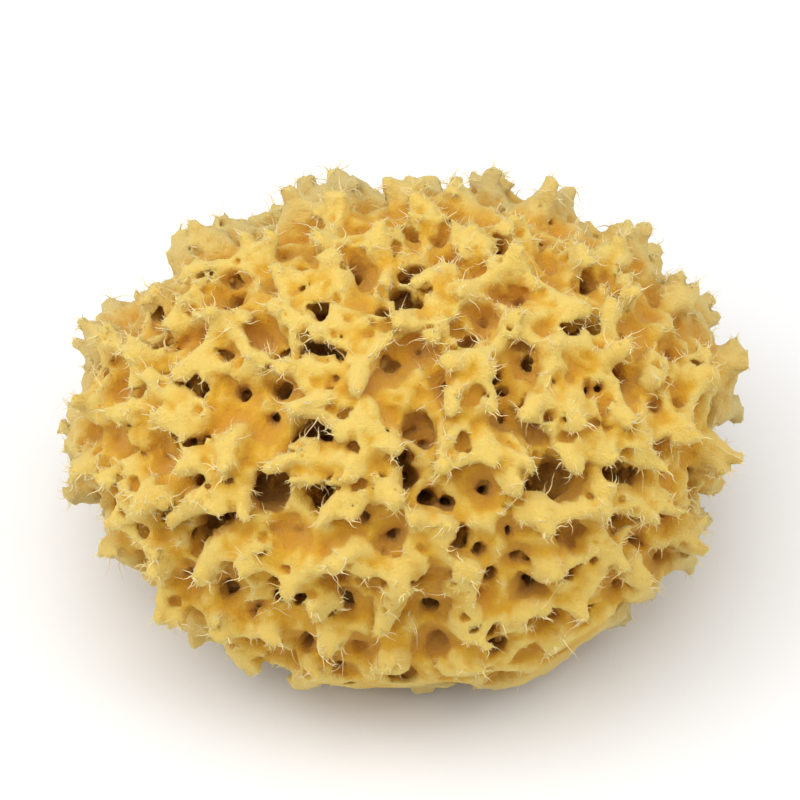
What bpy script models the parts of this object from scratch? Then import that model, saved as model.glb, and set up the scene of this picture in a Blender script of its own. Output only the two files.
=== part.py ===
"""A natural sea sponge: a low dome of springy skeleton, full of canals, cut flat where it grew.

The dome is one grown piece, so it is one solid. Its skin is a lumpy half-flattened ball.
Fingers and tufts stand on the skin, and canals run into it from their mouths. The mouths and
fingers of the side that faces the viewer are placed by hand. The rest spread over the other
sides by a rule: each mouth keeps a wall's width from its neighbours, and tufts rise from the
walls between the mouths.
"""

import math

import bmesh
import bpy
import numpy as np
from mathutils import Matrix, Vector

MM = 0.001

# Overall size of the sponge, over the tips of its tufts
WIDTH = 140 * MM
DEPTH = 116 * MM
HEIGHT = 86 * MM

# The skin under the tufts: radii of the lumpy ball about its middle
TUFT_RISE = 5.0
SKIN_RADII = (65.5, 54.0)
SKIN_RADIUS_UP = 46.5
SKIN_RADIUS_DOWN = 43.0
MIDDLE_HEIGHT = 35.5

# Swellings of the skin: direction, share of the radius, and width of the swelling
SWELLINGS = (
    ((-0.80, -0.10, 0.45), 0.035, 0.10),
    ((0.82, 0.05, 0.40), 0.030, 0.10),
    ((0.10, 0.75, 0.60), 0.025, 0.12),
    ((-0.15, -0.80, -0.35), 0.050, 0.09),
    ((0.45, -0.80, -0.25), 0.040, 0.06),
    ((-0.60, -0.70, -0.25), 0.035, 0.06),
    ((0.02, -0.85, 0.10), -0.060, 0.025),
    ((-0.40, -0.85, 0.08), -0.055, 0.020),
    ((0.45, -0.82, 0.12), -0.060, 0.020),
    ((0.70, -0.60, 0.10), -0.040, 0.020),
)

# Swellings of the outline: its turn anticlockwise from across, share of the radius, and width
OUTLINE_SWELLINGS = (
    (40, 0.055, 0.12), (-6, -0.060, 0.02), (-58, 0.045, 0.08), (-125, -0.050, 0.10),
    (112, -0.045, 0.08), (14, 0.030, 0.02), (178, 0.020, 0.03),
)  # fmt: skip

# The hand-placed rows are measured in millimetres across and up from the middle of the
# outline, as seen from the front and this far above the horizon
SEEN_FROM = math.radians(50)

# Canal mouths: across, up, mouth radius, depth
MOUTHS = (
    # Upper middle
    (2.2, 26.2, 3.6, 26), (2.6, 33.6, 3.1, 22), (0.2, 29.8, 2.4, 22),
    (-16.6, 16.6, 3.5, 26), (-16.0, 24.4, 3.1, 22), (-18.2, 20.6, 2.4, 20),
    (-9.8, 34.2, 1.9, 14), (-4.2, 25.6, 2.0, 12), (-12.4, 16.2, 1.4, 12),
    (-2.6, 14.8, 1.6, 9), (9.2, 35.8, 2.3, 6), (-23.8, 32.6, 3.0, 7),
    (-20.0, 33.8, 2.6, 6), (13.6, 18.0, 2.8, 12), (16.6, 24.2, 3.0, 6),
    (-28.0, 20.2, 3.0, 6), (-24.2, 38.8, 1.1, 6), (-24.2, 15.8, 2.0, 10),
    (-24.4, 10.0, 1.5, 14), (18.2, 12.8, 1.5, 14), (19.8, 9.6, 1.2, 10),
    # Upper left
    (-35.0, 29.2, 2.5, 14), (-34.8, 32.8, 1.9, 9), (-49.4, 25.0, 3.4, 7),
    (-48.4, 19.0, 2.5, 9), (-53.8, 16.6, 1.7, 8), (-45.0, 30.0, 1.4, 6),
    (-40.8, 10.6, 2.6, 22), (-44.2, 11.0, 2.4, 10), (-31.8, 9.4, 1.6, 18),
    (-55.2, 26.8, 1.8, 5),
    # Upper right
    (33.0, 21.2, 2.5, 22), (37.4, 22.0, 2.3, 10), (25.2, 15.8, 1.6, 18),
    (35.4, 38.4, 3.0, 7), (38.0, 32.6, 2.3, 9), (44.4, 33.0, 1.6, 8),
    (28.0, 41.8, 1.4, 6), (19.8, 35.4, 2.1, 14), (19.4, 39.2, 1.7, 9),
    (43.0, 13.4, 2.1, 15), (39.6, 10.0, 1.2, 10), (36.6, 10.0, 1.6, 6),
    (56.2, 18.0, 1.6, 5),
    # Middle, under the upper lip
    (-17.0, 1.4, 2.9, 24), (-20.0, -0.6, 1.7, 18), (2.2, 2.6, 2.4, 9),
    (4.0, -0.4, 1.8, 9), (-0.6, -4.0, 2.2, 14), (0.6, -7.8, 2.2, 22),
    (-16.2, -11.2, 2.9, 18), (5.2, -12.6, 1.8, 20), (9.0, -13.6, 1.5, 18),
    (16.4, -10.4, 1.6, 12), (-26.6, -10.4, 4.7, 16), (30.8, -8.2, 4.4, 14),
    (26.6, -9.8, 2.8, 12), (43.4, -7.2, 2.6, 12), (40.0, -6.6, 2.1, 11),
    (46.8, -7.8, 2.0, 10),
    # Left, under the upper lip
    (-45.6, 0.0, 2.1, 14), (-42.0, -0.8, 1.3, 10), (-39.2, 0.0, 1.6, 6),
    (-59.2, -0.4, 1.6, 5), (-49.0, -3.6, 3.6, 6), (-40.0, -8.4, 1.9, 9),
    (-39.2, -18.0, 2.4, 14), (-41.8, -19.8, 1.9, 12), (-36.0, -15.8, 2.1, 12),
    (-60.2, -11.0, 1.2, 8), (-60.2, -15.6, 1.7, 9),
    # Lower left
    (-34.4, -25.2, 1.7, 10), (-24.8, -29.0, 1.7, 18), (-25.0, -32.0, 1.5, 16),
    (-36.0, -31.6, 2.3, 9), (-44.0, -29.2, 2.6, 7), (-41.6, -23.0, 1.3, 8),
    (-20.4, -31.6, 2.4, 9), (-19.4, -43.4, 1.8, 9), (-30.0, -41.2, 2.0, 6),
    (-41.8, -37.4, 2.6, 5), (-8.6, -43.2, 2.6, 6), (-10.8, -33.6, 1.5, 12),
    (-12.6, -27.8, 1.4, 7),
    # Lower middle
    (-2.2, -19.8, 1.6, 12), (10.8, -20.4, 2.8, 9), (15.4, -22.8, 1.4, 14),
    (17.4, -28.2, 1.8, 16), (15.4, -31.8, 1.2, 8), (3.2, -28.0, 1.2, 8),
    (5.8, -34.6, 1.7, 14), (17.8, -38.0, 1.7, 14), (19.6, -42.6, 2.3, 16),
    (0.4, -49.6, 3.4, 11), (7.0, -42.4, 3.2, 7),
    # Lower right
    (21.8, -18.4, 1.3, 8), (24.4, -24.4, 1.3, 10), (32.8, -26.4, 1.3, 10),
    (26.6, -29.8, 2.0, 18), (43.4, -16.8, 1.8, 9), (48.2, -22.8, 2.0, 10),
    (38.4, -34.8, 1.1, 8), (29.6, -36.4, 2.1, 6), (36.4, -36.8, 2.3, 5),
    (54.4, -17.0, 2.4, 6), (55.2, -25.8, 2.7, 6), (34.2, -21.4, 1.2, 7),
)  # fmt: skip

# Fingers: foot across and up, tip across and up, and how far the tip stands off the skin
FINGERS = (
    # Tongues and tufts between the upper mouths
    (9.2, 32.4, 3.0, 29.6, 3.0), (13.6, 29.2, 11.0, 26.6, 4.0), (-20.4, 29.2, -24.4, 31.6, 4.0),
    (-12.4, 30.2, -14.0, 33.6, 3.5), (-20.4, 22.2, -24.4, 24.2, 4.0), (-10.6, 22.4, -16.8, 20.0, 3.0),
    (1.6, 24.0, -0.8, 20.8, 4.5), (6.6, 22.6, 5.6, 18.0, 4.0), (-18.0, 14.0, -22.2, 12.4, 4.5),
    (-7.4, 16.2, -8.8, 9.0, 4.0), (13.4, 14.6, 8.0, 13.6, 4.5), (15.6, 15.4, 16.4, 12.0, 4.0),
    (-10.4, 7.2, -20.0, 5.0, 4.0), (-7.4, 5.2, -11.6, 0.6, 4.0), (-4.8, 1.2, -1.6, -2.0, 4.0),
    # Tufts that hang over the groove in the middle
    (-8.0, -1.8, -10.0, -6.6, 4.0), (-18.4, -2.6, -24.2, -6.4, 4.0), (-16.8, -4.0, -19.8, -8.8, 3.0),
    (-10.4, -8.8, -14.8, -15.2, 3.5), (-8.4, -8.8, -9.4, -14.8, 3.5), (-3.4, -7.8, -1.4, -12.4, 3.5),
    (11.6, 10.2, 9.2, 3.8, 4.5), (14.6, 9.0, 16.8, 5.4, 4.0), (9.6, -0.8, 7.6, -5.8, 4.0),
    (15.6, 0.2, 18.0, -4.6, 4.0), (4.6, -17.8, 2.4, -14.6, 3.0), (7.6, -18.4, 7.6, -16.0, 3.5),
    # Left side
    (-43.4, 5.2, -48.8, 11.4, 3.5), (-38.4, 14.2, -42.4, 12.0, 3.0), (-41.4, 4.2, -47.8, 3.4, 3.5),
    (-32.4, 0.2, -33.2, -5.4, 4.5), (-37.4, -3.4, -41.2, -6.0, 4.0), (-34.8, -6.8, -44.0, -15.6, 4.0),
    (-33.4, -9.8, -36.0, -13.4, 4.0), (-31.2, -7.8, -30.6, -15.0, 3.5), (-36.0, -22.2, -39.4, -26.6, 3.0),
    (-52.0, 6.0, -56.0, 4.0, 3.5), (-54.0, -7.0, -58.0, -8.4, 3.5), (-52.0, -13.0, -56.0, -17.0, 3.0),
    # Right side
    (29.6, 26.0, 34.8, 24.0, 3.0), (40.2, 17.0, 40.0, 25.0, 3.5), (39.0, 15.4, 42.6, 17.2, 3.5),
    (50.6, 13.8, 47.6, 11.4, 3.0), (33.6, 9.2, 32.6, 2.2, 4.5), (29.6, 8.2, 23.6, 4.6, 4.0),
    (40.6, 6.2, 43.0, 3.4, 4.0), (32.6, 0.2, 32.8, -5.6, 4.0), (37.6, -0.8, 39.0, -4.4, 4.0),
    (41.6, 0.2, 49.6, -5.0, 4.0), (47.6, 4.2, 46.6, -1.8, 3.5), (20.6, -1.8, 24.6, -4.8, 4.0),
    (21.6, -5.6, 22.6, -10.0, 3.5), (25.6, -13.6, 28.0, -17.0, 3.5), (43.6, -12.8, 49.6, -15.4, 3.0),
    # Lower front
    (-9.6, -22.4, -12.6, -24.0, 3.0), (-19.4, -25.8, -22.0, -28.0, 3.5), (-15.0, -33.0, -16.8, -31.0, 3.5),
    (12.4, -26.8, 12.6, -24.6, 3.0), (38.8, -20.6, 41.6, -23.8, 3.5), (45.6, -25.6, 48.6, -28.0, 3.5),
    (47.6, -29.8, 51.6, -33.6, 3.0), (23.6, -35.8, 27.4, -33.0, 3.0), (12.6, -35.8, 15.6, -38.6, 3.0),
    (33.0, -31.0, 34.8, -33.8, 2.5), (51.0, -11.8, 54.0, -13.6, 3.0), (-28.0, -22.0, -30.0, -25.0, 3.0),
    (-2.0, -33.0, -4.0, -37.0, 3.0), (-14.0, -38.6, -15.0, -41.0, 3.0), (-26.0, -37.0, -25.0, -39.0, 3.0),
)  # fmt: skip

# Trimming cuts low on the flank, where shears squared the sponge: outward direction, and how
# deep the cut goes under the highest skin in that direction
TRIM_CUTS = (
    ((0.55, -0.75, -0.36), 1.8),
    ((0.02, -0.88, -0.47), 1.2),
)

# Spread of the mouths and tufts that are not placed by hand
SPREAD_SEED = 11
CANDIDATES = 3200
FREE_MOUTH_RADII = (2.5, 4.6)
SEEN_MOUTH_RADII = (1.4, 1.9)
WALL = 3.6
TUFT_SPACING = 10.0
TUFT_CLEARANCE = 1.2
TUFT_WIDTH = 3.0
FINGER_WIDTH = 2.9
CUT_MOUTH_LEAST = 1.7
CUT_WIDENING = 1.15
CUT_DEPTH_MOST = 12.0
BOWL_REACH = 0.60
BOWL_RADII = (1.3, 6.4)
BOWL_CENTRE = 1.6

# Fineness of the solid
SHAPING_CELL = 1.0 * MM
SHAPING_FACES = 45000
FACES = 9500


def skin_radius(directions):
    """Distance of the skin from the middle along unit directions: that of an ellipsoid that is
    a little flatter below than above, times one plus each swelling, a bell over the angle."""
    down = np.where(directions[:, 2] < 0, SKIN_RADIUS_DOWN, SKIN_RADIUS_UP)
    scaled = directions / np.column_stack((np.full((len(directions), 2), SKIN_RADII), down))
    radius = 1 / np.sqrt((scaled**2).sum(axis=1))
    right, above, _ = seen_axes()
    rows = list(SWELLINGS)
    for turn, share, width in OUTLINE_SWELLINGS:
        angle = math.radians(turn)
        rows.append((right * math.cos(angle) + above * math.sin(angle), share, width))
    for towards, share, width in rows:
        axis = np.array(towards) / np.linalg.norm(towards)
        radius *= 1 + share * np.exp((directions @ axis - 1) / width)
    return radius


def height_over_skin(points):
    """How far points stand outside the skin, along the line from the middle."""
    distance = np.linalg.norm(points, axis=1)
    return distance - skin_radius(points / distance[:, None])


def skin_normals(points):
    """Outward directions of the skin at points on it, from small differences."""
    step = 0.5
    shifts = np.eye(3) * step
    slopes = [height_over_skin(points + s) - height_over_skin(points - s) for s in shifts]
    normals = np.stack(slopes, axis=1)
    return normals / np.linalg.norm(normals, axis=1)[:, None]


def seen_axes():
    """Unit directions of across, of up and of towards the viewer."""
    level, rise = math.cos(SEEN_FROM), math.sin(SEEN_FROM)
    return np.array(((1, 0, 0), (0, rise, level), (0, -level, rise)), float)


def on_skin(across, up):
    """Points of the skin behind places of the view, the first that a sight line meets, or the
    nearest to it where the line passes by."""
    right, above, near = seen_axes()
    depths = np.linspace(90, -60, 601)
    base = np.outer(across, right) + np.outer(up, above)
    lines = base[:, None, :] + depths[None, :, None] * near
    height = height_over_skin(lines.reshape(-1, 3)).reshape(lines.shape[:2])
    meets = height < 0
    pick = np.where(meets.any(axis=1), meets.argmax(axis=1), height.argmin(axis=1))
    hit = lines[np.arange(len(pick)), pick]
    distance = np.linalg.norm(hit, axis=1)
    return hit * (skin_radius(hit / distance[:, None]) / distance)[:, None]


def even_directions(count):
    """Unit directions spread evenly over a ball, along a golden-angle spiral."""
    k = np.arange(count) + 0.5
    z = 1 - 2 * k / count
    turn = k * math.pi * (3 - math.sqrt(5))
    level = np.sqrt(1 - z**2)
    return np.column_stack((level * np.cos(turn), level * np.sin(turn), z))


def hand_mouths():
    """Mouth points, inward axes, radii and depths of the canals placed by hand."""
    rows = np.array(MOUTHS)
    points = on_skin(rows[:, 0], rows[:, 1])
    inward = -(0.62 * skin_normals(points) + 0.38 * seen_axes()[2])
    inward /= np.linalg.norm(inward, axis=1)[:, None]
    return points, inward, rows[:, 2], rows[:, 3]


def spread_mouths(points, radii, chance):
    """Mouths on the sides that no hand-placed one covers: candidates are taken in a shuffled
    order, and each is kept where it leaves a wall's width to all the mouths before it."""
    spots = even_directions(CANDIDATES)
    spots = spots * skin_radius(spots)[:, None]
    facing = skin_normals(spots) @ seen_axes()[2]
    order = chance.permutation(CANDIDATES)
    draws = chance.random(CANDIDATES)
    points, radii = list(points), list(radii)
    fresh = []
    for i in order:
        low, high = SEEN_MOUTH_RADII if facing[i] > 0.3 else FREE_MOUTH_RADII
        radius = low + (high - low) * draws[i] ** 1.5
        gaps = np.linalg.norm(np.array(points) - spots[i], axis=1) - np.array(radii) - radius
        if gaps.min() > WALL:
            points.append(spots[i])
            radii.append(radius)
            fresh.append((spots[i], radius))
    return fresh


def all_mouths():
    """Every canal of the sponge: mouth points, inward axes, radii and depths."""
    chance = np.random.default_rng(SPREAD_SEED)
    points, inward, radii, depths = hand_mouths()
    fresh = spread_mouths(points, radii, chance)
    spots = np.array([spot for spot, _ in fresh])
    sizes = np.array([size for _, size in fresh])
    lean = chance.normal(0, 0.22, spots.shape)
    axes = lean - skin_normals(spots)
    axes /= np.linalg.norm(axes, axis=1)[:, None]
    lengths = sizes * (2.4 + 3.0 * chance.random(len(sizes)))
    return (
        np.vstack((points, spots)),
        np.vstack((inward, axes)),
        np.concatenate((radii, sizes)),
        np.concatenate((depths, lengths)),
    )


def bowl_radii(points, radii):
    """A bowl reaches a share of the way to the second nearest mouth, within limits."""
    gaps = np.sort(np.linalg.norm(points[:, None] - points[None], axis=2), axis=1)
    least, most = BOWL_RADII
    return np.minimum(np.maximum(BOWL_REACH * gaps[:, 2], least * radii), most)


def hand_fingers():
    """Feet and tips of the fingers placed by hand. A foot is a little under the skin."""
    rows = np.array(FINGERS)
    feet = on_skin(rows[:, 0], rows[:, 1])
    tips = on_skin(rows[:, 2], rows[:, 3])
    feet = feet - 1.0 * skin_normals(feet)
    return feet, tips + rows[:, 4:5] * skin_normals(tips)


def spread_tufts(mouth_points, mouth_radii, taken):
    """Feet, tips and side tips of the tufts between the mouths: of evenly spread places, those
    furthest from any mouth's edge come first, and each keeps its distance to those before."""
    chance = np.random.default_rng(SPREAD_SEED + 1)
    spots = even_directions(CANDIDATES)
    spots = spots * skin_radius(spots)[:, None]
    spots = spots[spots[:, 2] > 3 - MIDDLE_HEIGHT]
    gaps = np.linalg.norm(spots[:, None] - mouth_points[None], axis=2) - mouth_radii
    clearance = gaps.min(axis=1)
    tufts = list(taken)
    chosen = []
    for i in np.argsort(-clearance):
        if clearance[i] < TUFT_CLEARANCE:
            break
        if np.linalg.norm(np.array(tufts) - spots[i], axis=1).min() > TUFT_SPACING:
            tufts.append(spots[i])
            chosen.append(spots[i])
    feet = np.array(chosen)
    lean = chance.normal(0, 0.28, feet.shape)
    rise = TUFT_RISE * (0.75 + 0.35 * chance.random(len(feet)))
    outward = skin_normals(feet)
    aside = np.cross(outward, chance.normal(0, 1, feet.shape))
    aside /= np.linalg.norm(aside, axis=1)[:, None]
    tips = feet + rise[:, None] * (outward + lean)
    side_tips = feet + rise[:, None] * (0.62 * outward + 0.80 * aside)
    return feet - 1.0 * outward, tips, side_tips


def along(start, end):
    """A matrix that stands +Z along the line from start to end, with its origin at start."""
    turn = (Vector(end) - Vector(start)).to_track_quat("Z", "Y")
    return Matrix.Translation(Vector(start)) @ turn.to_matrix().to_4x4()


def new_object(name, bm, collection):
    mesh = bpy.data.meshes.new(name)
    bm.to_mesh(mesh)
    bm.free()
    obj = bpy.data.objects.new(name, mesh)
    collection.objects.link(obj)
    return obj


def shaped_ball(name, collection, shape, matrix, fineness=2):
    """An icosphere whose vertices move to where a shape function of their unit-ball places puts
    them, in millimetres from the sponge's middle, and then to the sponge's own frame."""
    bm = bmesh.new()
    bmesh.ops.create_icosphere(bm, subdivisions=fineness, radius=1)
    for vert in bm.verts:
        local = matrix @ Vector(shape(vert.co))
        vert.co = Vector((local.x, local.y, local.z + MIDDLE_HEIGHT)) * MM
    return new_object(name, bm, collection)


def skin_ball(collection):
    """The skin: an icosphere whose vertices are moved out to the lumpy ball."""

    def skin(unit):
        direction = np.array([unit.normalized()])
        return Vector((direction * skin_radius(direction)[:, None])[0])

    return shaped_ball("sponge", collection, skin, Matrix.Identity(4), fineness=6)


def tuft_horn(collection, foot, tip, thickness):
    """A tuft: a small icosphere drawn out to a blunt horn from foot to tip."""
    length = (Vector(tip) - Vector(foot)).length

    def horn(unit):
        share = (unit.z + 1) / 2
        width = thickness * (1.25 - 0.85 * share)
        return (unit.x * width, unit.y * width, length * (share * 1.15 - 0.15))

    return shaped_ball("horn", collection, horn, along(foot, tip))


def canal_egg(collection, mouth, inward, radius, depth):
    """A canal: an icosphere drawn out to an egg, widest near its mouth, that starts outside."""
    start = mouth - inward * (0.55 * radius + TUFT_RISE)
    length = depth + 0.55 * radius + TUFT_RISE

    def egg(unit):
        share = (unit.z + 1) / 2
        width = radius * (1.32 - 0.62 * share)
        return (unit.x * width, unit.y * width, length * share)

    return shaped_ball("egg", collection, egg, along(start, start + inward), fineness=3)


def canal_bowl(collection, mouth, inward, radius):
    """A ball half sunk in the skin, whose bowl flares a canal's mouth out to its neighbours.
    Where bowls meet, the skin is left as a ridge, and as a peak where three meet."""
    centre = Matrix.Translation(mouth - BOWL_CENTRE * inward)
    return shaped_ball("bowl", collection, lambda unit: unit * radius, centre, fineness=3)


def joined(name, pieces):
    """One object that holds every piece."""
    with bpy.context.temp_override(active_object=pieces[0], selected_editable_objects=pieces):
        bpy.ops.object.join()
    pieces[0].name = name
    pieces[0].data.name = name
    return pieces[0]


def new_collection(name):
    collection = bpy.data.collections.new(name)
    bpy.context.scene.collection.children.link(collection)
    return collection


def as_cutter(obj):
    obj.hide_render = True
    obj.display_type = "WIRE"
    return obj


def remesh(obj, cell):
    """Melts overlapping shapes of one object into one skin of even cells."""
    modifier = obj.modifiers.new("melt", "REMESH")
    modifier.mode = "VOXEL"
    modifier.voxel_size = cell
    modifier.adaptivity = 0


def smooth(obj, factor, repeats):
    modifier = obj.modifiers.new("soften", "SMOOTH")
    modifier.factor = factor
    modifier.iterations = repeats


def thin_out(obj, faces):
    """Leaves about as many triangles as asked, where the form bends most."""
    modifier = obj.modifiers.new("thin_out", "DECIMATE")
    modifier.ratio = min(1, faces / sum(len(p.vertices) - 2 for p in obj.data.polygons))


def cut(obj, cutter):
    modifier = obj.modifiers.new(cutter.name, "BOOLEAN")
    modifier.operation = "DIFFERENCE"
    modifier.object = cutter


def apply_modifiers(obj):
    """Replaces an object's mesh with what its modifiers make of it."""
    bpy.context.view_layer.update()
    graph = bpy.context.evaluated_depsgraph_get()
    mesh = bpy.data.meshes.new_from_object(obj.evaluated_get(graph))
    obj.modifiers.clear()
    old = obj.data
    obj.data = mesh
    bpy.data.meshes.remove(old)


def keep_largest_piece(obj):
    """Drops the crumbs that the canals cut loose, so that one grown piece is left."""
    bm = bmesh.new()
    bm.from_mesh(obj.data)
    bm.verts.ensure_lookup_table()
    unseen = set(range(len(bm.verts)))
    pieces = []
    while unseen:
        front = [bm.verts[unseen.pop()]]
        piece = list(front)
        while front:
            front = [e.other_vert(v) for v in front for e in v.link_edges]
            front = [v for v in front if v.index in unseen]
            front = list({v.index: v for v in front}.values())
            unseen.difference_update(v.index for v in front)
            piece.extend(front)
        pieces.append(piece)
    pieces.sort(key=len)
    crumbs = [v for piece in pieces[:-1] for v in piece]
    bmesh.ops.delete(bm, geom=crumbs, context="VERTS")
    bm.to_mesh(obj.data)
    bm.free()


def skin_and_tufts(collection, mouths):
    """The uncut dome: the skin with every finger and tuft standing on it, melted together."""
    feet, tips = hand_fingers()
    points, _, radii, _ = mouths
    pieces = [skin_ball(collection)]
    for foot, tip in zip(feet, tips, strict=True):
        pieces.append(tuft_horn(collection, foot, tip, FINGER_WIDTH))
    for foot, tip, side_tip in zip(*spread_tufts(points, radii, (feet + tips) / 2), strict=True):
        pieces.append(tuft_horn(collection, foot, tip, TUFT_WIDTH))
        pieces.append(tuft_horn(collection, foot, side_tip, 0.9 * TUFT_WIDTH))
    dome = joined("sponge", pieces)
    remesh(dome, SHAPING_CELL)
    smooth(dome, 0.5, 1)
    apply_modifiers(dome)
    thin_out(dome, SHAPING_FACES)
    apply_modifiers(dome)
    return dome


def canal_cutters(collection, mouths):
    """Every canal wide enough for the solid, melted into one cutter."""
    pieces = []
    bowls = bowl_radii(mouths[0], mouths[2])
    for mouth, inward, radius, depth, bowl in zip(*mouths, bowls, strict=True):
        pieces.append(canal_bowl(collection, mouth, inward, bowl))
        if radius >= CUT_MOUTH_LEAST:
            wide, deep = CUT_WIDENING * radius, min(depth, CUT_DEPTH_MOST)
            pieces.append(canal_egg(collection, mouth, inward, wide, deep))
    cutter = joined("canals", pieces)
    remesh(cutter, SHAPING_CELL)
    apply_modifiers(cutter)
    thin_out(cutter, SHAPING_FACES)
    apply_modifiers(cutter)
    return as_cutter(cutter)


def skin_reach(outward):
    """How far the skin reaches from the middle in a direction."""
    spots = even_directions(CANDIDATES)
    spots = spots * skin_radius(spots)[:, None]
    return (spots @ (np.array(outward) / np.linalg.norm(outward))).max()


def slab_cutter(collection, name, outward, distance):
    """A big block whose face cuts at a distance from the middle, across a direction."""
    size = 2 * WIDTH
    direction = Vector(outward).normalized()
    bm = bmesh.new()
    bmesh.ops.create_cube(bm, size=size)
    slab = new_object(name, bm, collection)
    centre = Vector((0, 0, MIDDLE_HEIGHT * MM)) + direction * (distance * MM + size / 2)
    slab.data.transform(
        Matrix.Translation(centre) @ direction.to_track_quat("Z", "Y").to_matrix().to_4x4()
    )
    return as_cutter(slab)


def fit_to_size(obj):
    """Brings the outline to the stated width, depth and height, standing on the origin."""
    places = np.empty(len(obj.data.vertices) * 3, np.float32)
    obj.data.vertices.foreach_get("co", places)
    places = places.reshape(-1, 3)
    low, high = places.min(axis=0), places.max(axis=0)
    size = np.array((WIDTH, DEPTH, HEIGHT))
    middle = (low + high) / 2
    foot = np.array((middle[0], middle[1], low[2]))
    places = (places - foot) * (size / (high - low))
    obj.data.vertices.foreach_set("co", places.astype(np.float32).ravel())
    obj.data.update()


def sponge_material():
    material = bpy.data.materials.new("sponge_skeleton")
    material.use_nodes = True
    surface = material.node_tree.nodes["Principled BSDF"]
    surface.inputs["Base Color"].default_value = (0.83, 0.60, 0.23, 1)
    surface.inputs["Roughness"].default_value = 0.9
    surface.inputs["Metallic"].default_value = 0.0
    return material


def main():
    for obj in list(bpy.data.objects):
        bpy.data.objects.remove(obj, do_unlink=True)
    grown = new_collection("sea_sponge")
    cutters = new_collection("cutters")
    mouths = all_mouths()

    sponge = skin_and_tufts(grown, mouths)
    cut(sponge, canal_cutters(cutters, mouths))
    remesh(sponge, SHAPING_CELL)
    smooth(sponge, 0.5, 1)
    apply_modifiers(sponge)
    keep_largest_piece(sponge)
    thin_out(sponge, FACES)
    apply_modifiers(sponge)

    cut(sponge, slab_cutter(cutters, "rock_cut", (0, 0, -1), MIDDLE_HEIGHT))
    for number, (outward, depth) in enumerate(TRIM_CUTS):
        distance = skin_reach(outward) - depth
        cut(sponge, slab_cutter(cutters, f"trim_cut_{number}", outward, distance))
    apply_modifiers(sponge)
    keep_largest_piece(sponge)
    fit_to_size(sponge)
    sponge.data.materials.clear()
    sponge.data.materials.append(sponge_material())
    sponge.data.shade_flat()


main()
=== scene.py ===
"""Dresses the sea sponge: its webbed, canal-ridden skeleton, its frayed fibres, and a plain stage.

Lengths inside the shape functions are millimetres from the sponge's middle. They become metres
when they are put into a mesh.
"""

import math

import bpy
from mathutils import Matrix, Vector
import numpy as np


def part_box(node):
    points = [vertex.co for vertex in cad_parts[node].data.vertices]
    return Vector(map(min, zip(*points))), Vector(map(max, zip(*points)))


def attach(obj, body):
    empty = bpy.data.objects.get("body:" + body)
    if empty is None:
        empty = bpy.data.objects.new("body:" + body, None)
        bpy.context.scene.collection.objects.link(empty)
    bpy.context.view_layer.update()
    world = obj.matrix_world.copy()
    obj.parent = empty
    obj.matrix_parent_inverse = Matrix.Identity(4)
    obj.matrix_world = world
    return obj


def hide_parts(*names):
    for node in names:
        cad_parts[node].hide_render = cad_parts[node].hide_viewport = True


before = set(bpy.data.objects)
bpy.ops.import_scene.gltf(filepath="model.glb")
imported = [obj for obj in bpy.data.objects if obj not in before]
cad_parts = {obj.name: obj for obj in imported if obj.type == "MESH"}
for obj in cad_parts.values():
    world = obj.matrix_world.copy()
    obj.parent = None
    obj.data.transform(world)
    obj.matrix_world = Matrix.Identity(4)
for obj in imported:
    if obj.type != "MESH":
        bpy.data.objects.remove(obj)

bl_info = {
    "name": "Sea Sponge",
    "version": (1, 0, 0),
    "blender": (4, 5, 0),
    "location": "3D View > Sidebar > Sponge",
    "description": "Grows a natural bath sponge with canals, webs, tufts and frayed fibres",
    "category": "Add Mesh",
}

MM = 0.001
SENSOR = 36
ROOM_LIGHT = 0.54
NODE = "sponge"
BODY = "root"

# The skin under the tufts: radii of the lumpy ball about its middle
TUFT_RISE = 5.0
SKIN_RADII = (65.5, 54.0)
SKIN_RADIUS_UP = 46.5
SKIN_RADIUS_DOWN = 43.0
MIDDLE_HEIGHT = 35.5
# Swellings of the skin: direction, share of the radius, and width of the swelling
SWELLINGS = (
    ((-0.80, -0.10, 0.45), 0.035, 0.10),
    ((0.82, 0.05, 0.40), 0.030, 0.10),
    ((0.10, 0.75, 0.60), 0.025, 0.12),
    ((-0.15, -0.80, -0.35), 0.050, 0.09),
    ((0.45, -0.80, -0.25), 0.040, 0.06),
    ((-0.60, -0.70, -0.25), 0.035, 0.06),
    ((0.02, -0.85, 0.10), -0.060, 0.025),
    ((-0.40, -0.85, 0.08), -0.055, 0.020),
    ((0.45, -0.82, 0.12), -0.060, 0.020),
    ((0.70, -0.60, 0.10), -0.040, 0.020),
)

# Swellings of the outline: its turn anticlockwise from across, share of the radius, and width
OUTLINE_SWELLINGS = (
    (40, 0.055, 0.12), (-6, -0.060, 0.02), (-58, 0.045, 0.08), (-125, -0.050, 0.10),
    (112, -0.045, 0.08), (14, 0.030, 0.02), (178, 0.020, 0.03),
)  # fmt: skip

# The rows below are measured in millimetres across and up from the middle of the
# outline, as seen from the front and this far above the horizon
SEEN_FROM = math.radians(50)

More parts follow.
